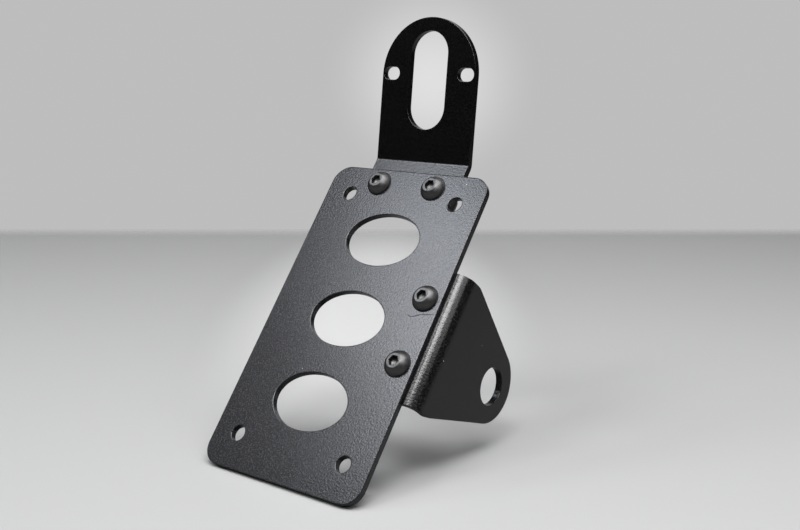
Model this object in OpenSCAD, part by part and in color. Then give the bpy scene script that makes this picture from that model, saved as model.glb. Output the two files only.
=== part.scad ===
// Side mount licence plate holder: a plate carrier with a tail light bracket bolted
// behind its top edge and an axle bracket bolted behind its right edge.
// The origin is the centre of the axle hole on the outer face of the axle bracket's tab.
// +X points out of that face, +Y points away from the plate, and +Z runs up the long side
// of the plate towards the tail light bracket.

/* [Plate carrier] */
// Width of the plate carrier
plate_w = 101.6; // [96:0.1:120]
// Length of the plate carrier
plate_h = 177.8; // [172:0.1:200]
// Thickness of the plate carrier with its coating
plate_t = 3.5; // [2:0.1:5]
// Radius of the plate carrier's corners
plate_corner_r = 10; // [2:0.5:12]
// Distance between the licence plate bolts across the plate
plate_bolt_pitch_x = 69.85; // [69.4:0.05:76]
// Distance between the licence plate bolts along the plate
plate_bolt_pitch_z = 142.9; // [140:0.1:150]
// Diameter of the licence plate bolt holes
plate_bolt_hole_d = 8.3; // [5:0.1:8.6]
// How far the holes' middle stands above the middle of the plate carrier
pattern_rise = 0.8; // [0:0.1:1.5]
// Width of each oval opening
oval_w = 46.5; // [20:0.1:50]
// Height of each oval opening
oval_h = 30.6; // [14:0.1:36]
// Distance between the centres of neighbouring oval openings
oval_pitch = 46.35; // [44:0.05:47]

/* [Tail light bracket] */
// Width of the tail light bracket
tail_w = 61; // [50:0.5:61]
// Thickness of the tail light bracket's sheet
tail_t = 3.5; // [1.5:0.1:4]
// Forward tilt of the tail light leg
tail_angle = 31.5; // [10:0.5:60]
// Inside radius of the tail light bracket's fold
tail_bend_r = 2.5; // [1:0.1:4]
// Height of the fold line above the plate carrier's top edge
tail_fold_rise = 8.6; // [6:0.1:20]
// Length of the leg behind the plate carrier, from its end to the fold line
tail_base_len = 30; // [26:0.5:33]
// Length of the tail light leg from the fold line to its round end
tail_len = 76.8; // [76:0.1:100]
// Width of the long slot
tail_slot_w = 24.3; // [10:0.1:28]
// Overall length of the long slot
tail_slot_len = 52.2; // [30:0.1:56]
// Distance from the long slot to the round end of the leg
tail_slot_margin = 7.2; // [5:0.1:14]
// Distance between the two tail light bolt slots
tail_bolt_pitch = 48.6; // [44:0.1:49]
// Width of a tail light bolt slot
tail_bolt_slot_w = 7; // [4:0.1:8]
// Overall length of a tail light bolt slot
tail_bolt_slot_len = 10.5; // [8:0.1:10.5]
// How far the bolt slots stand above the centre of the round end
tail_bolt_rise = 0.6; // [0:0.1:4]

/* [Axle bracket] */
// Height of the axle bracket
axle_h = 70.8; // [60:0.1:76]
// Thickness of the axle bracket's sheet
axle_t = 3.8; // [2:0.1:4]
// Inside radius of the axle bracket's fold
axle_bend_r = 4.8; // [2:0.1:4.9]
// Diameter of the axle hole
axle_hole_d = 20; // [12:0.1:26]
// Radius of the tab's round end
axle_end_r = 20; // [18:0.1:24]
// Distance from the round end's centre to the axle hole's centre
axle_end_shift = 1.6; // [0:0.1:3]
// Distance from the axle hole's centre to the plate carrier's back face
axle_reach = 55.6; // [48:0.1:90]
// Distance from the plate carrier's back face to where the tab starts to narrow
axle_neck = 13.8; // [12:0.1:20]
// Radius of the two corners where the tab starts to narrow
axle_neck_r = 9; // [2:0.5:14]
// How far the tab's outer face stands beyond the plate carrier's right edge
axle_standoff = 6.8; // [6.2:0.1:20]
// Width of the bracket's leg behind the plate carrier, beside its screws
axle_leg_margin = 12.3; // [10:0.1:14]
// Radius of the hidden corners of both brackets
leg_corner_r = 4; // [1:0.5:8]

/* [Screws] */
// Thread diameter of the screws
screw_d = 8; // [6:0.1:8]
// Length of the screws under the head
screw_len = 20; // [18:1:30]
// Diameter of the button heads
head_d = 14; // [12:0.1:14.5]
// Height of the button heads
head_h = 4.4; // [3:0.1:5]
// Diameter of the flat on top of the button heads
head_flat_d = 7.8; // [7:0.1:9]
// Height of the straight rim under the dome of the button heads
head_rim_h = 0.5; // [0.3:0.1:1]
// Hexagon socket size across flats
socket_af = 5; // [3:0.5:5]
// Depth of the hexagon socket
socket_depth = 2.6; // [1.5:0.1:3]
// Depth of the cone at the bottom of the hexagon socket
socket_cone_h = 1.25; // [0.5:0.05:1.4]
// Length of the bevel on the screws' tips
screw_tip = 0.7; // [0.3:0.1:1]
// Distance between the two screws of a bracket
screw_pitch = 35.6; // [30:0.1:37]
// Distance from the tail light bracket's screws to the plate carrier's top edge
tail_screw_edge = 8.9; // [8:0.1:10]
// Distance from the axle bracket's screws to the plate carrier's right edge
axle_screw_edge = 9.5; // [8:0.1:12]
// Play of the screws in the holes of the three sheets, on the diameter
screw_play = 0.5; // [0.2:0.1:1]

/* [Washers and nuts] */
// Outside diameter of the washers
washer_d = 15; // [14:0.1:15]
// Thickness of the washers
washer_t = 1.6; // [1:0.1:2]
// Play of the washers on the screws, on the diameter
washer_play = 0.4; // [0.2:0.1:1]
// Nut size across flats
nut_af = 13; // [13:0.1:13.5]
// How far the round faces of a lock nut stay inside its flats, on the radius
nut_bevel = 0.2; // [0.1:0.1:0.4]
// Overall height of a lock nut
nut_h = 8; // [7.5:0.1:9.5]
// Height of the hexagon of a lock nut
nut_hex_h = 5.6; // [5:0.1:6.5]
// Wall of a lock nut's round collar about the nylon ring
nut_collar_wall = 0.8; // [0.5:0.1:0.9]
// Wall of the nylon ring
insert_wall = 1.25; // [0.8:0.05:1.4]
// Thickness of the nylon ring
insert_t = 1.9; // [1.4:0.1:2.2]
// Thickness of the lip rolled over the nylon ring
nut_lip_t = 0.4; // [0.3:0.1:0.6]
// Width of the lip rolled over the nylon ring
nut_lip_w = 0.5; // [0.3:0.1:0.7]
// Play between the screw, the nut and the nylon ring, on the radius
thread_gap = 0.04; // [0.02:0.01:0.1]

/* [Hidden] */
$fn = 96;

// Where the plate carrier lies, seen from the axle hole
plate_x = -(plate_w / 2 + axle_standoff);
plate_back_y = -axle_reach;
plate_front_y = plate_back_y - plate_t;
plate_mid_z = -pattern_rise;
plate_top_z = plate_mid_z + plate_h / 2;
plate_right_x = plate_x + plate_w / 2;

// The four screws: the first two hold the tail light bracket, the others the axle bracket
tail_screw_z = plate_top_z - tail_screw_edge;
axle_screw_x = plate_right_x - axle_screw_edge;
SCREW_AT = [
    [plate_x - screw_pitch / 2, tail_screw_z],
    [plate_x + screw_pitch / 2, tail_screw_z],
    [axle_screw_x, screw_pitch / 2],
    [axle_screw_x, -screw_pitch / 2]
];
SHEET_T = [tail_t, tail_t, axle_t, axle_t];

// The tail light bracket's fold and the places on its tilted leg
tail_fold_z = plate_top_z + tail_fold_rise;
tail_setback = tail_bend_r * tan(tail_angle / 2);
tail_end_u = tail_len - tail_setback;
tail_round_u = tail_end_u - tail_w / 2;
tail_slot_top_u = tail_end_u - tail_slot_margin - tail_slot_w / 2;
tail_slot_low_u = tail_slot_top_u - tail_slot_len + tail_slot_w;

// The axle bracket's fold, and the tangent from its neck to its round end
axle_fold = [-axle_t - axle_bend_r, plate_back_y + axle_t + axle_bend_r];
neck_y = plate_back_y + axle_neck;
neck_run = [neck_y + axle_end_shift, axle_h / 2];
neck_slope = 90 - atan2(neck_run.y, neck_run.x) + acos(axle_end_r / norm(neck_run));
neck_cut = axle_neck_r * tan(neck_slope / 2);
axle_leg_x = axle_screw_x - axle_leg_margin;

// The sphere that shapes a button head passes through its rim and the edge of its flat
head_sphere_z = (pow(head_h, 2) - pow(head_rim_h, 2) + pow(head_flat_d / 2, 2) - pow(head_d / 2, 2))
    / (2 * (head_h - head_rim_h));
head_sphere_r = norm([head_d / 2, head_rim_h - head_sphere_z]);
hex_d = socket_af / cos(30);
nut_hex_d = nut_af / cos(30);
nut_face_d = nut_af - 2 * nut_bevel;

// What goes on a screw takes its bore from the screw, and the nut its pocket from the ring
screw_hole_d = screw_d + screw_play;
washer_bore_d = screw_d + washer_play;
thread_bore_d = screw_d + 2 * thread_gap;
insert_d = thread_bore_d + 2 * insert_wall;
pocket_d = insert_d + 2 * thread_gap;
nut_collar_d = pocket_d + 2 * nut_collar_wall;
insert_z = nut_h - nut_lip_t - insert_t;

// How far cuts run past what they cut, and what the leg's round end is larger than half its
// width, so that its arc crosses the straight sides instead of only touching them
cut = 1;
tangent_ease = 0.001;

// Rectangle with round corners, centred, as squares and circles so that its corners are true arcs
module round_rect(size, r) {
    square([size.x - 2 * r, size.y], center = true);
    square([size.x, size.y - 2 * r], center = true);
    for (sx = [-1, 1], sy = [-1, 1]) {
        translate([sx * (size.x / 2 - r), sy * (size.y / 2 - r)]) circle(r);
    }
}

// Slot with round ends between two points, of width w
module slot(a, b, w) {
    run = b - a;
    translate(a) circle(d = w);
    translate(b) circle(d = w);
    translate((a + b) / 2) rotate(atan2(run.y, run.x)) square([norm(run), w], center = true);
}

// Sheet of thickness t that stands upright, drawn as seen from the front, with its front face at y
module upright_sheet(y, t) {
    translate([0, y + t, 0]) rotate([90, 0, 0]) linear_extrude(t) children();
}

// Turns a drawing so that its x runs along Y, its y along Z and its height along X
module sideways() {
    rotate([90, 0, 90]) children();
}

// Section of a fold about its own axis, from the drawing's x axis on: a ring between two cuts
module fold_section(angle, r, t) {
    span = 4 * (r + t);
    difference() {
        circle(r + t);
        circle(r);
        translate([-span / 2, -span]) square(span);
        rotate(angle) translate([-span / 2, 0]) square(span);
    }
}

module screw_holes(first, last) {
    for (i = [first : last]) {
        translate(SCREW_AT[i]) circle(d = screw_hole_d);
    }
}

module plate_outline() {
    difference() {
        translate([plate_x, plate_mid_z]) round_rect([plate_w, plate_h], plate_corner_r);
        for (row = [-1 : 1]) {
            translate([plate_x, row * oval_pitch]) scale([oval_w / oval_h, 1]) circle(d = oval_h);
        }
        for (sx = [-1, 1], sz = [-1, 1]) {
            translate([plate_x + sx * plate_bolt_pitch_x / 2, sz * plate_bolt_pitch_z / 2])
                circle(d = plate_bolt_hole_d);
        }
        screw_holes(0, 3);
    }
}

module plate_carrier() {
    color([0.16, 0.16, 0.17]) upright_sheet(plate_front_y, plate_t) plate_outline();
}

// Side section about the fold's axis: the leg behind the plate carrier, the fold and the tilted leg
module tail_section() {
    leg_h = tail_base_len - tail_setback;
    translate([tail_bend_r, -leg_h]) square([tail_t, leg_h]);
    fold_section(tail_angle, tail_bend_r, tail_t);
    rotate(tail_angle) translate([tail_bend_r, 0]) square([tail_t, tail_end_u + cut]);
}

// What is cut from the leg behind the plate carrier: its screw holes and its two lower corners
module tail_base_cuts() {
    r = leg_corner_r;
    screw_holes(0, 1);
    for (side = [-1, 1]) {
        translate([plate_x + side * tail_w / 2, tail_fold_z - tail_base_len]) difference() {
            translate([side * (cut - r) / 2, (r - cut) / 2]) square(r + cut, center = true);
            translate([-side * r, r]) circle(r);
        }
    }
}

// What is cut from the tilted leg, drawn flat from its fold on: the slots and all that lies
// beyond the round end
module tail_leg_cuts() {
    reach = (tail_bolt_slot_len - tail_bolt_slot_w) / 2;
    end_r = tail_w / 2 + tangent_ease;
    slot([0, tail_slot_low_u], [0, tail_slot_top_u], tail_slot_w);
    bolt_u = tail_round_u + tail_bolt_rise;
    for (side = [-1, 1]) {
        middle = side * tail_bolt_pitch / 2;
        slot([middle - reach, bolt_u], [middle + reach, bolt_u], tail_bolt_slot_w);
    }
    translate([0, tail_end_u - end_r]) difference() {
        translate([-end_r - cut, 0]) square([2 * (end_r + cut), end_r + 2 * cut]);
        circle(end_r);
    }
}

module tail_light_bracket() {
    fold_at = [plate_x, plate_back_y - tail_bend_r, tail_fold_z - tail_setback];
    color([0.1, 0.1, 0.1]) difference() {
        translate(fold_at) sideways() linear_extrude(tail_w, center = true) tail_section();
        upright_sheet(plate_back_y - cut, tail_t + 2 * cut) tail_base_cuts();
        translate(fold_at) rotate([tail_angle, 0, 0])
            upright_sheet(tail_bend_r - cut, tail_t + 2 * cut) tail_leg_cuts();
    }
}

module axle_leg_outline() {
    leg_w = axle_fold.x - axle_leg_x;
    difference() {
        union() {
            translate([axle_leg_x + leg_w / 2, 0]) round_rect([leg_w, axle_h], leg_corner_r);
            translate([axle_fold.x - leg_w / 2, -axle_h / 2]) square([leg_w / 2, axle_h]);
        }
        screw_holes(2, 3);
    }
}

// Half of the tab above its middle: straight beside the fold, round at the neck,
// then narrowing along a tangent to the round end
module tab_half() {
    corner = [neck_y, axle_h / 2];
    polygon([
        [axle_fold.y, 0],
        [axle_fold.y, axle_h / 2],
        corner - [neck_cut, 0],
        corner + neck_cut * [cos(neck_slope), -sin(neck_slope)],
        axle_end_r * [sin(neck_slope), cos(neck_slope)] - [axle_end_shift, 0],
        [-axle_end_shift, 0]
    ]);
    intersection() {
        translate(corner - [neck_cut, axle_neck_r]) circle(axle_neck_r);
        translate([axle_fold.y, 0]) square([axle_neck, axle_h / 2]);
    }
}

module tab_outline() {
    difference() {
        union() {
            tab_half();
            mirror([0, 1]) tab_half();
            translate([-axle_end_shift, 0]) circle(axle_end_r);
        }
        circle(d = axle_hole_d);
    }
}

module axle_bracket() {
    color([0.14, 0.14, 0.15]) {
        upright_sheet(plate_back_y, axle_t) axle_leg_outline();
        translate(axle_fold) rotate(-90)
            linear_extrude(axle_h, center = true) fold_section(90, axle_bend_r, axle_t);
        translate([-axle_t, 0, 0]) sideways() linear_extrude(axle_t) tab_outline();
    }
}

// Places what is drawn about the z axis on screw i, with its zero on the plate carrier's
// front face plus lift and its height running backwards
module on_screw(i, lift = 0) {
    translate([SCREW_AT[i].x, plate_front_y + lift, SCREW_AT[i].y]) rotate([-90, 0, 0]) children();
}

module button_screw(i) {
    color([0.12, 0.12, 0.12]) on_screw(i) {
        difference() {
            intersection() {
                translate([0, 0, -head_h]) cylinder(d = head_d, h = head_h);
                translate([0, 0, -head_sphere_z]) sphere(head_sphere_r);
            }
            translate([0, 0, -head_h - cut]) cylinder(d = hex_d, h = socket_depth + cut, $fn = 6);
            translate([0, 0, socket_depth - head_h]) cylinder(d1 = socket_af, d2 = 0, h = socket_cone_h);
        }
        cylinder(d = screw_d, h = screw_len - screw_tip);
        translate([0, 0, screw_len - screw_tip])
            cylinder(d1 = screw_d, d2 = screw_d - 2 * screw_tip, h = screw_tip);
    }
}

module flat_washer(i) {
    color([0.2, 0.2, 0.2]) on_screw(i, plate_t + SHEET_T[i]) {
        difference() {
            cylinder(d = washer_d, h = washer_t);
            translate([0, 0, -cut]) cylinder(d = washer_bore_d, h = washer_t + 2 * cut);
        }
    }
}

// Hexagon with its corners bevelled at the seat, and a round collar that holds the nylon ring
module lock_nut(i) {
    cone_d = nut_face_d + 4 * nut_hex_h;
    pocket_z = insert_z - thread_gap;
    color([0.2, 0.2, 0.2]) on_screw(i, plate_t + SHEET_T[i] + washer_t) {
        difference() {
            union() {
                intersection() {
                    cylinder(d = nut_hex_d, h = nut_hex_h, $fn = 6);
                    cylinder(d1 = nut_face_d, d2 = cone_d, h = nut_hex_h);
                    cylinder(d1 = cone_d, d2 = nut_face_d, h = nut_hex_h);
                }
                cylinder(d = nut_collar_d, h = nut_h);
            }
            translate([0, 0, -cut]) cylinder(d = thread_bore_d, h = nut_h + 2 * cut);
            translate([0, 0, pocket_z]) cylinder(d = pocket_d, h = insert_t + thread_gap);
            translate([0, 0, pocket_z]) cylinder(d = insert_d - 2 * nut_lip_w, h = nut_h);
        }
    }
}

module nylon_ring(i) {
    color([0.85, 0.84, 0.8]) on_screw(i, plate_t + SHEET_T[i] + washer_t + insert_z) {
        difference() {
            cylinder(d = insert_d, h = insert_t);
            translate([0, 0, -cut]) cylinder(d = thread_bore_d, h = insert_t + 2 * cut);
        }
    }
}

plate_carrier();
tail_light_bracket();
axle_bracket();
button_screw(0);  // button_screw_1
button_screw(1);  // button_screw_2
button_screw(2);  // button_screw_3
button_screw(3);  // button_screw_4
flat_washer(0);  // flat_washer_1
flat_washer(1);  // flat_washer_2
flat_washer(2);  // flat_washer_3
flat_washer(3);  // flat_washer_4
lock_nut(0);  // lock_nut_1
lock_nut(1);  // lock_nut_2
lock_nut(2);  // lock_nut_3
lock_nut(3);  // lock_nut_4
nylon_ring(0);  // nylon_ring_1
nylon_ring(1);  // nylon_ring_2
nylon_ring(2);  // nylon_ring_3
nylon_ring(3);  // nylon_ring_4
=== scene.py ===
# A side mount licence plate holder for a motorbike, seen leaning back on a pale table.
# Three powder-coated steel sheets are bolted together, and each section below makes one of
# their pieces ready, in the order in which the holder is put together.
import bpy
import math
from mathutils import Matrix, Vector

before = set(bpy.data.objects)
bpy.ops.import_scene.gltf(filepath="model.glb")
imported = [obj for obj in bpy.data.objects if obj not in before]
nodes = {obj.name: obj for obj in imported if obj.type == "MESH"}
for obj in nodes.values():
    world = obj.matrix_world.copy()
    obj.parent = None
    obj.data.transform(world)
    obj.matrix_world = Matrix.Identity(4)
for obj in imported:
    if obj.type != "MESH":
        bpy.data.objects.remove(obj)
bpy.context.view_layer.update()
scene = bpy.context.scene
MM = 0.001


# Plate carrier
# The flat sheet that the licence plate is bolted to: laser-cut steel, tumbled until its edges
# are slightly round, then dusted with satin black powder and baked. The baked coat has a fine
# orange peel with pale flecks, a light scratch below the upper side screw and some dust.
PLATE_EDGE = 0.2 * MM
ROLLED_EDGE = 0.75 * MM
ROLLED_BLEND = 0.2 * MM
WELD_REACH = 0.001 * MM
FLAT_ANGLE = 0.3
PLATE_BLACK = (0.0026, 0.0027, 0.0031)
PLATE_FLECK = (0.024, 0.025, 0.029)
COAT_ROUGHNESS = 0.19
ROUGHNESS_SWING = 0.02
CLOUD_GRAIN = 90.0
CLOUD_SPAN = (0.36, 0.64)
FLECK_GRAIN = 1300.0
FLECK_SPAN = (0.42, 0.68)
PEEL_GRAIN = 1000.0
PEEL_SPAN = (0.3, 0.7)
PEEL_HEIGHT = 0.07 * MM
PEBBLE_GRAIN = 2400.0
PEBBLE_HEIGHT = 0.012 * MM
# Each stroke of the scratch: its place across and up, its half length in mm, and its turn
SCRATCH = [(-21.4, 7.52, 1.9, 20.7), (-17.5, 8.23, 4.2, -22.9), (-11.5, 9.83, 4.7, -7.7)]
SCRATCH_HALF_WIDTH = 0.34 * MM
SCRATCH_DEPTH = 0.5 * MM
SCRATCH_ROUGHNESS = 0.5
MARK_CORE = 0.4
DUST_TONE = (0.35, 0.35, 0.34)
# Each speck of dust: its place and its radius in mm
PLATE_DUST = [((-20.64, -59.1, 83.66), 0.4), ((-71.0, -59.1, -31.0), 0.3)]
# Where a colour mix takes its lower and its upper colour, and gives its result
LOWER_COLOUR, UPPER_COLOUR, MIXED_COLOUR = 6, 7, 2
# The same for a mix of two directions
LOWER_DIRECTION, UPPER_DIRECTION, MIXED_DIRECTION = 4, 5, 1

plate_points = [vertex.co for vertex in nodes["plate_carrier"].data.vertices]
plate_low = Vector([min(point[axis] for point in plate_points) for axis in range(3)])
plate_high = Vector([max(point[axis] for point in plate_points) for axis in range(3)])


def add(tree, kind, **values):
    node = tree.nodes.new("ShaderNode" + kind)
    for name, value in values.items():
        if hasattr(node, name):
            setattr(node, name, value)
        else:
            node.inputs[name.replace("_", " ")].default_value = value
    return node


def wire(tree, source, output, target, socket):
    tree.links.new(source.outputs[output], target.inputs[socket])


def grain(tree, place, scale, detail=2.0):
    noise = add(tree, "TexNoise", Scale=scale, Detail=detail, Roughness=0.5)
    wire(tree, place, "Object", noise, "Vector")
    return noise


def ramp(tree, source, output, low, high, dark, bright, curve="LINEAR"):
    spread = add(tree, "MapRange", interpolation_type=curve,
                 From_Min=low, From_Max=high, To_Min=dark, To_Max=bright)
    wire(tree, source, output, spread, "Value")
    return spread


def shades(tree, source, span, dark, pale):
    tone = add(tree, "ValToRGB")
    for element, place, colour in zip(tone.color_ramp.elements, span, (dark, pale)):
        element.position = place
        element.color = (*colour, 1)
    wire(tree, source, "Fac", tone, "Fac")
    return tone


def lay_over(tree, share, under, colour):
    layer = add(tree, "Mix", data_type="RGBA")
    layer.inputs[UPPER_COLOUR].default_value = (*colour, 1)
    wire(tree, share, "Result", layer, 0)
    tree.links.new(under, layer.inputs[LOWER_COLOUR])
    return layer.outputs[MIXED_COLOUR]


def roll_front_edge(tree, place, target):
    middle = (plate_low.y + plate_high.y) / 2
    spot = add(tree, "SeparateXYZ")
    wire(tree, place, "Object", spot, "Vector")
    front = ramp(tree, spot, "Y", middle - ROLLED_BLEND, middle + ROLLED_BLEND, 1.0, 0.0)
    flat = add(tree, "NewGeometry")
    round_over = add(tree, "Bevel", samples=16, Radius=ROLLED_EDGE)
    leaning = add(tree, "Mix", data_type="VECTOR")
    wire(tree, front, "Result", leaning, 0)
    wire(tree, flat, "Normal", leaning, LOWER_DIRECTION)
    wire(tree, round_over, "Normal", leaning, UPPER_DIRECTION)
    wire(tree, leaning, MIXED_DIRECTION, target, "Normal")


def powder_coat(name, black, fleck, rolled=False):
    coat = bpy.data.materials.new(name)
    coat.use_nodes = True
    tree = coat.node_tree
    shader = tree.nodes["Principled BSDF"]
    place = add(tree, "TexCoord")
    cloud = grain(tree, place, CLOUD_GRAIN, 3.0)
    darker, paler = [[part * share for part in black] for share in (0.8, 1.2)]
    tone = shades(tree, cloud, CLOUD_SPAN, darker, paler)
    powder = grain(tree, place, PEBBLE_GRAIN)
    spots = grain(tree, place, FLECK_GRAIN)
    flecks = ramp(tree, spots, "Fac", *FLECK_SPAN, 0.0, 1.0)
    dusted = lay_over(tree, flecks, tone.outputs["Color"], fleck)
    tree.links.new(dusted, shader.inputs["Base Color"])
    peel = grain(tree, place, PEEL_GRAIN)
    smooth, rough = COAT_ROUGHNESS - ROUGHNESS_SWING, COAT_ROUGHNESS + ROUGHNESS_SWING
    sheen = ramp(tree, peel, "Fac", *PEEL_SPAN, smooth, rough)
    wire(tree, sheen, "Result", shader, "Roughness")
    dimple = add(tree, "Bump", Strength=1.0, Distance=PEEL_HEIGHT)
    pebble = add(tree, "Bump", Strength=1.0, Distance=PEBBLE_HEIGHT)
    wire(tree, peel, "Fac", dimple, "Height")
    wire(tree, powder, "Fac", pebble, "Height")
    wire(tree, dimple, "Normal", pebble, "Normal")
    wire(tree, pebble, "Normal", shader, "Normal")
    if rolled:
        roll_front_edge(tree, place, dimple)
    return coat


def dress(node, material, edge, segments=3, angle=28):
    piece = nodes[node]
    piece.data.materials.clear()
    piece.data.materials.append(material)
    weld = piece.modifiers.new("weld", "WELD")
    weld.merge_threshold = WELD_REACH
    plain = piece.modifiers.new("plain faces", "DECIMATE")
    plain.decimate_type = "DISSOLVE"
    plain.angle_limit = math.radians(FLAT_ANGLE)
    tumble = piece.modifiers.new("round edges", "BEVEL")
    tumble.width = edge
    tumble.segments = segments
    tumble.limit_method = "ANGLE"
    tumble.angle_limit = math.radians(angle)
    tumble.miter_outer = "MITER_SHARP"
    tumble.use_clamp_overlap = False
    even = piece.modifiers.new("even shading", "WEIGHTED_NORMAL")
    even.weight = 100


def mark(tree, place, centre, size, turn=0.0):
    around = add(tree, "Mapping", vector_type="TEXTURE", Location=centre, Scale=size)
    around.inputs["Rotation"].default_value = (0, math.radians(turn), 0)
    wire(tree, place, "Object", around, "Vector")
    off = add(tree, "VectorMath", operation="LENGTH")
    wire(tree, around, "Vector", off, 0)
    return ramp(tree, off, "Value", MARK_CORE, 1.0, 1.0, 0.0)


def scratch(coat, strokes):
    tree = coat.node_tree
    shader = tree.nodes["Principled BSDF"]
    place = add(tree, "TexCoord")
    rough = shader.inputs["Roughness"].links[0].from_socket
    for across, up, half, turn in strokes:
        centre = (across * MM, plate_low.y, up * MM)
        size = (half * MM, SCRATCH_DEPTH, SCRATCH_HALF_WIDTH)
        stroke = mark(tree, place, centre, size, turn)
        torn = add(tree, "Math", operation="MULTIPLY_ADD")
        torn.inputs[1].default_value = SCRATCH_ROUGHNESS
        wire(tree, stroke, "Result", torn, 0)
        tree.links.new(rough, torn.inputs[2])
        rough = torn.outputs["Value"]
    tree.links.new(rough, shader.inputs["Roughness"])


def dust(coat, specks):
    tree = coat.node_tree
    shader = tree.nodes["Principled BSDF"]
    place = add(tree, "TexCoord")
    tone = shader.inputs["Base Color"].links[0].from_socket
    for centre, radius in specks:
        speck = mark(tree, place, [part * MM for part in centre], [radius * MM] * 3)
        tone = lay_over(tree, speck, tone, DUST_TONE)
    tree.links.new(tone, shader.inputs["Base Color"])


plate_coat = powder_coat("plate_powder_coat", PLATE_BLACK, PLATE_FLECK, rolled=True)
scratch(plate_coat, SCRATCH)
dust(plate_coat, PLATE_DUST)
dress("plate_carrier", plate_coat, PLATE_EDGE)


# Tail light bracket
# The sheet folded behind the plate's top edge, whose round-ended leg tilts forward and holds
# the tail light. It is laser-cut, folded over a sharp tool and coated like the plate, whose
# powder is drawn darker here as painted shade.
TAIL_EDGE = 0.2 * MM
# The plate's powder made darker, as painted shade on the leg that faces away from the lamps
TAIL_SHADED_BLACK = (0.0010, 0.0010, 0.0011)
TAIL_SHADED_FLECK = (0.004, 0.004, 0.0045)
dress("tail_light_bracket", powder_coat("tail_powder_coat_shaded", TAIL_SHADED_BLACK, TAIL_SHADED_FLECK), TAIL_EDGE)


# Axle bracket
# The sheet folded back behind the plate's right edge. Its tab narrows to a round end with the
# hole for the wheel's axle. The same powder lies on it a little duller, drawn darker than the
# plate's as painted shade, with two specks of dust.
AXLE_EDGE = 0.2 * MM
# The plate's powder made darker, as painted shade on the dimly lit tab and fold
AXLE_SHADED_BLACK = (0.0018, 0.0018, 0.0019)
AXLE_SHADED_FLECK = (0.016, 0.016, 0.017)
AXLE_SHINE = 0.42
AXLE_DUST = [((-0.04, -47.85, -7.77), 0.4), ((0.0, -22.0, 13.0), 0.25)]
axle_coat = powder_coat("bracket_powder_coat_shaded", AXLE_SHADED_BLACK, AXLE_SHADED_FLECK)
axle_shader = axle_coat.node_tree.nodes["Principled BSDF"]
axle_shader.inputs["Specular IOR Level"].default_value = AXLE_SHINE
dust(axle_coat, AXLE_DUST)
dress("axle_bracket", axle_coat, AXLE_EDGE)


# Button head screws
# Four steel screws with low domed heads and hexagon sockets, cold-forged, threaded by rolling
# and blackened in a hot oxide bath. The oxide leaves them duller than the powder coat.
SCREWS = range(1, 5)
SCREW_EDGE = 0.16 * MM
SCREW_BLACK = (0.004, 0.004, 0.0043)
SCREW_ROUGHNESS = 0.39
OXIDE_GRAIN = 700.0
OXIDE_SPAN = (0.3, 0.7)
FORGED_GRAIN = 2600.0
FORGED_HEIGHT = 0.02 * MM


def black_oxide(name, black, roughness):
    metal = bpy.data.materials.new(name)
    metal.use_nodes = True
    tree = metal.node_tree
    shader = tree.nodes["Principled BSDF"]
    shader.inputs["Specular IOR Level"].default_value = 1.0
    place = add(tree, "TexCoord")
    blotch = grain(tree, place, OXIDE_GRAIN, 3.0)
    darker, paler = [[part * share for part in black] for share in (0.7, 1.4)]
    tone = shades(tree, blotch, OXIDE_SPAN, darker, paler)
    wire(tree, tone, "Color", shader, "Base Color")
    sheen = ramp(tree, blotch, "Fac", *OXIDE_SPAN, roughness - 0.05, roughness + 0.08)
    wire(tree, sheen, "Result", shader, "Roughness")
    forged = grain(tree, place, FORGED_GRAIN)
    skin = add(tree, "Bump", Strength=1.0, Distance=FORGED_HEIGHT)
    wire(tree, forged, "Fac", skin, "Height")
    wire(tree, skin, "Normal", shader, "Normal")
    return metal


screw_black = black_oxide("screw_black_oxide", SCREW_BLACK, SCREW_ROUGHNESS)
for number in SCREWS:
    dress(f"button_screw_{number}", screw_black, SCREW_EDGE, segments=2, angle=25)


# Washers and lock nuts
# Behind each sheet a stamped flat washer and a forged lock nut take the screw. They are steel,
# zinc-plated black, and a little brighter than the screws.
NUT_EDGE = 0.12 * MM
NUT_BLACK = (0.03, 0.03, 0.032)
NUT_ROUGHNESS = 0.36
nut_black = black_oxide("nut_black_zinc", NUT_BLACK, NUT_ROUGHNESS)
for number in SCREWS:
    dress(f"flat_washer_{number}", nut_black, NUT_EDGE, segments=2)
    dress(f"lock_nut_{number}", nut_black, NUT_EDGE, segments=2)


# Nylon rings
# The turned ring of natural nylon that is rolled into each lock nut's collar. It is slightly
# cloudy, and it grips the screw's thread.
RING_EDGE = 0.1 * MM
RING_SHADOW = (0.52, 0.51, 0.46)
RING_LIGHT = (0.68, 0.67, 0.62)
RING_ROUGHNESS = 0.45
RING_GRAIN = 800.0
ring_nylon = bpy.data.materials.new("ring_nylon")
ring_nylon.use_nodes = True
tree = ring_nylon.node_tree
shader = tree.nodes["Principled BSDF"]
shader.inputs["Roughness"].default_value = RING_ROUGHNESS
ring_cloud = grain(tree, add(tree, "TexCoord"), RING_GRAIN)
ring_tone = shades(tree, ring_cloud, (0.0, 1.0), RING_SHADOW, RING_LIGHT)
wire(tree, ring_tone, "Color", shader, "Base Color")
for number in SCREWS:
    dress(f"nylon_ring_{number}", ring_nylon, RING_EDGE, segments=2)


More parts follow.
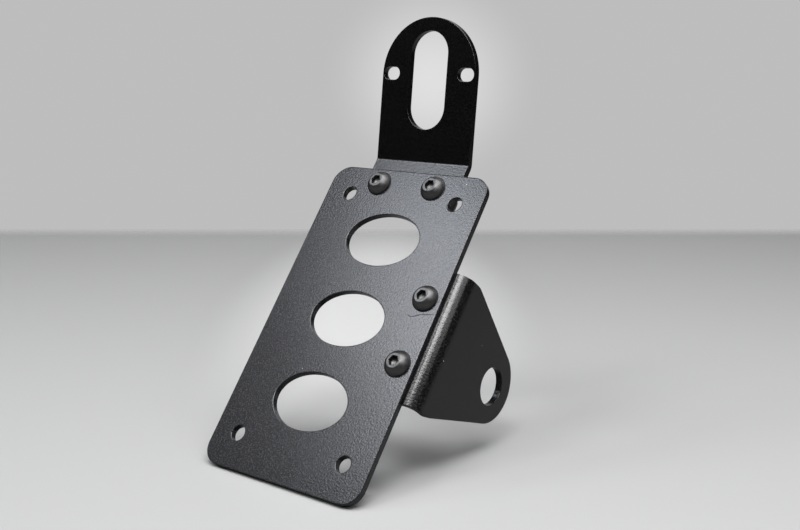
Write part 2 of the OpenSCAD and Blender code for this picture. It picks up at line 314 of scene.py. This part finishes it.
# Table
# A plain pale table top, on whose surface the plate's lower edge stands. The holder leans back
# over it, so that seen from the holder the table slopes. It is clear from below, fades out at
# the back, and has a painted pool of light behind the holder that only the camera sees.
PLATE_LEAN = math.radians(38.191)
VIEW_TURN = math.radians(37.921)
UP = Vector((0.0, -math.sin(PLATE_LEAN), math.cos(PLATE_LEAN)))
ALONG = Vector((0.0, math.cos(PLATE_LEAN), math.sin(PLATE_LEAN)))
RIGHT = Vector((math.cos(VIEW_TURN), 0.0, 0.0)) + ALONG * math.sin(VIEW_TURN)
AWAY = UP.cross(RIGHT)
FOOT = Vector(((plate_low.x + plate_high.x) / 2, plate_high.y, plate_low.z))
TABLE_HALF = 1.6
TABLE_BACK = 0.745
TABLE_FADE = 0.045
TABLE_TONE = (0.32, 0.32, 0.32, 1)
TABLE_MIRRORED = (0.18, 0.18, 0.18, 1)
TABLE_ROUGHNESS = 0.8
TABLE_SHINE = 0.1
# Painted pool of light on the table behind the holder: an emission that only the camera sees
PAINTED_POOL_CENTRE = (0.04, 0.37, 0.0)
PAINTED_POOL_SIZE = (0.135, 0.46, 1.0)
PAINTED_POOL_CORE = 0.25
PAINTED_POOL_GLOW = 0.26
corners = [(-TABLE_HALF, -TABLE_HALF, 0), (TABLE_HALF, -TABLE_HALF, 0),
           (TABLE_HALF, TABLE_BACK, 0), (-TABLE_HALF, TABLE_BACK, 0)]
table_mesh = bpy.data.meshes.new("table_top")
table_mesh.from_pydata(corners, [], [(0, 1, 2, 3)])
table = bpy.data.objects.new("table_top", table_mesh)
table.matrix_world = Matrix.Translation(FOOT) @ Matrix((RIGHT, AWAY, UP)).transposed().to_4x4()
scene.collection.objects.link(table)

table_pale = bpy.data.materials.new("table_pale")
table_pale.use_nodes = True
tree = table_pale.node_tree
shader = tree.nodes["Principled BSDF"]
shader.inputs["Roughness"].default_value = TABLE_ROUGHNESS
shader.inputs["Specular IOR Level"].default_value = TABLE_SHINE
seen = add(tree, "LightPath")
table_tone = add(tree, "Mix", data_type="RGBA")
table_tone.inputs[LOWER_COLOUR].default_value = TABLE_MIRRORED
table_tone.inputs[UPPER_COLOUR].default_value = TABLE_TONE
wire(tree, seen, "Is Camera Ray", table_tone, 0)
wire(tree, table_tone, MIXED_COLOUR, shader, "Base Color")

place = add(tree, "TexCoord")
# The painted pool of light, brightest at its core and fading out towards its rim
painted_pool_place = add(tree, "Mapping", vector_type="TEXTURE", Location=PAINTED_POOL_CENTRE, Scale=PAINTED_POOL_SIZE)
wire(tree, place, "Object", painted_pool_place, "Vector")
from_painted_pool = add(tree, "VectorMath", operation="LENGTH")
wire(tree, painted_pool_place, "Vector", from_painted_pool, 0)
painted_light_pool = ramp(tree, from_painted_pool, "Value", 1.0, PAINTED_POOL_CORE, 0.0, PAINTED_POOL_GLOW, "SMOOTHSTEP")
painted_glow = add(tree, "Math", operation="MULTIPLY")
wire(tree, painted_light_pool, "Result", painted_glow, 0)
wire(tree, seen, "Is Camera Ray", painted_glow, 1)
shader.inputs["Emission Color"].default_value = (1, 1, 1, 1)
wire(tree, painted_glow, "Value", shader, "Emission Strength")

side = add(tree, "NewGeometry")
spot = add(tree, "SeparateXYZ")
wire(tree, place, "Object", spot, "Vector")
fade = ramp(tree, spot, "Y", TABLE_BACK - TABLE_FADE, TABLE_BACK, 0.0, 1.0)
not_table = add(tree, "Math", operation="MAXIMUM")
wire(tree, side, "Backfacing", not_table, 0)
wire(tree, fade, "Result", not_table, 1)
clear = add(tree, "BsdfTransparent")
surface = add(tree, "MixShader")
wire(tree, not_table, "Value", surface, "Fac")
wire(tree, shader, "BSDF", surface, 1)
wire(tree, clear, "BSDF", surface, 2)
wire(tree, surface, "Shader", tree.nodes["Material Output"], "Surface")
table_mesh.materials.append(table_pale)


# Lights
# Soft boxes before the holder shine in the folded edge and on the screws, a row of them at its
# left shines in the plate, and one above lights mostly the table.
AIM_HEIGHT = 20.0 * MM
PLAIN = (1.0, 1.0, 1.0)
COOL = (0.96, 0.99, 1.06)
COLD = (0.90, 0.98, 1.10)


# The direction is given to the right, up and away from the camera, and the sizes in metres
def soft_box(name, direction, distance, width, height, watts, tint=PLAIN):
    lamp = bpy.data.lights.new(name, "AREA")
    lamp.shape = "RECTANGLE"
    lamp.size, lamp.size_y = width, height
    lamp.energy = watts
    lamp.color = tint
    holder = bpy.data.objects.new(name, lamp)
    holder.rotation_mode = "QUATERNION"
    right, up, away = direction
    toward = (RIGHT * right + UP * up + AWAY * away).normalized()
    holder.location = Vector((FOOT.x, FOOT.y, AIM_HEIGHT)) + toward * distance
    holder.rotation_quaternion = (-toward).to_track_quat("-Z", "Y")
    scene.collection.objects.link(holder)


soft_box("soft_box_front_far", (-0.13, 0.81, -0.57), 1.8, 0.43, 0.43, 11.8)
soft_box("soft_box_front_near", (0.13, 0.74, -0.66), 0.6, 0.14, 0.14, 0.95)
soft_box("soft_box_right", (0.48, 0.60, -0.64), 0.6, 0.30, 0.18, 0.45)
soft_box("soft_box_front_left", (-0.50, 0.79, -0.35), 1.8, 0.50, 0.50, 13.2)
soft_box("soft_box_left_low", (-0.73, 0.67, -0.13), 1.8, 0.43, 0.43, 3.1, COOL)
soft_box("soft_box_left_high", (-0.67, 0.74, 0.0), 1.8, 0.40, 0.40, 3.2, COOL)
soft_box("soft_box_left_near", (-0.57, 0.81, 0.13), 0.6, 0.14, 0.14, 0.15, COLD)
soft_box("soft_box_left_wide", (-0.75, 0.65, 0.07), 1.8, 1.2, 1.2, 1.8)
soft_box("soft_box_above", (0.20, 0.95, -0.18), 1.3, 1.1, 1.0, 23.8)


# Room and wall
# A dim room, so that the black coat stays black, with a pale wall behind the table. The wall
# shows to the camera, and to what mirrors the few directions straight behind the holder. It has
# a painted halo of light, brightest behind the tail light bracket.
ROOM_TONE = (0.025, 0.025, 0.025, 1)
WALL_TONE = 0.51
# Painted halo of light on the wall, brightest straight behind the tail light bracket
PAINTED_HALO_TONE = 0.74
PAINTED_HALO_REACH = 0.10
PAINTED_HALO_AIM = RIGHT * 0.028 - UP * 0.035 + AWAY * 0.999
MIRRORED_WALL = (0.75, 0.9)
world = bpy.data.worlds.new("studio_room")
scene.world = world
world.use_nodes = True
tree = world.node_tree
room = tree.nodes["Background"]
room.inputs["Color"].default_value = ROOM_TONE
gaze = add(tree, "TexCoord")
aside = add(tree, "VectorMath", operation="DISTANCE")
aside.inputs[1].default_value = PAINTED_HALO_AIM
wire(tree, gaze, "Generated", aside, 0)
painted_halo = ramp(tree, aside, "Value", 0.0, PAINTED_HALO_REACH, PAINTED_HALO_TONE, WALL_TONE, "SMOOTHSTEP")
wall = add(tree, "Background")
wire(tree, painted_halo, "Result", wall, "Color")

seen = add(tree, "LightPath")
behind = add(tree, "VectorMath", operation="DOT_PRODUCT")
behind.inputs[1].default_value = AWAY
wire(tree, gaze, "Generated", behind, 0)
near_wall = ramp(tree, behind, "Value", *MIRRORED_WALL, 0.0, 1.0)
mirrored = add(tree, "Math", operation="MULTIPLY")
wire(tree, seen, "Is Glossy Ray", mirrored, 0)
wire(tree, near_wall, "Result", mirrored, 1)
pale_wall = add(tree, "Math", operation="MAXIMUM")
wire(tree, seen, "Is Camera Ray", pale_wall, 0)
wire(tree, mirrored, "Value", pale_wall, 1)
both = add(tree, "MixShader")
wire(tree, pale_wall, "Value", both, "Fac")
wire(tree, room, "Background", both, 1)
wire(tree, wall, "Background", both, 2)
wire(tree, both, "Shader", tree.nodes["World Output"], "Surface")
scene.view_settings.view_transform = "Standard"


# Camera
# The camera stands half a metre before the plate's foot and a little above it, and looks down
# a little on the leaning holder, as in the photograph.
CAMERA_PITCH = math.radians(11.457)
CAMERA_RIGHT = 59.38 * MM
CAMERA_HEIGHT = 210.85 * MM
CAMERA_BACK = 504.66 * MM
lens = bpy.data.cameras.new("camera")
lens.lens = 50.0
lens.sensor_width = 36.0
lens.sensor_fit = "HORIZONTAL"
lens.clip_start = 0.01
camera = bpy.data.objects.new("camera", lens)
scene.collection.objects.link(camera)
camera.rotation_mode = "QUATERNION"
camera.location = FOOT + RIGHT * CAMERA_RIGHT + UP * CAMERA_HEIGHT - AWAY * CAMERA_BACK
look = AWAY * math.cos(CAMERA_PITCH) - UP * math.sin(CAMERA_PITCH)
camera_axes = Matrix((RIGHT, RIGHT.cross(look), -look)).transposed()
camera.rotation_quaternion = camera_axes.to_quaternion()
scene.camera = camera
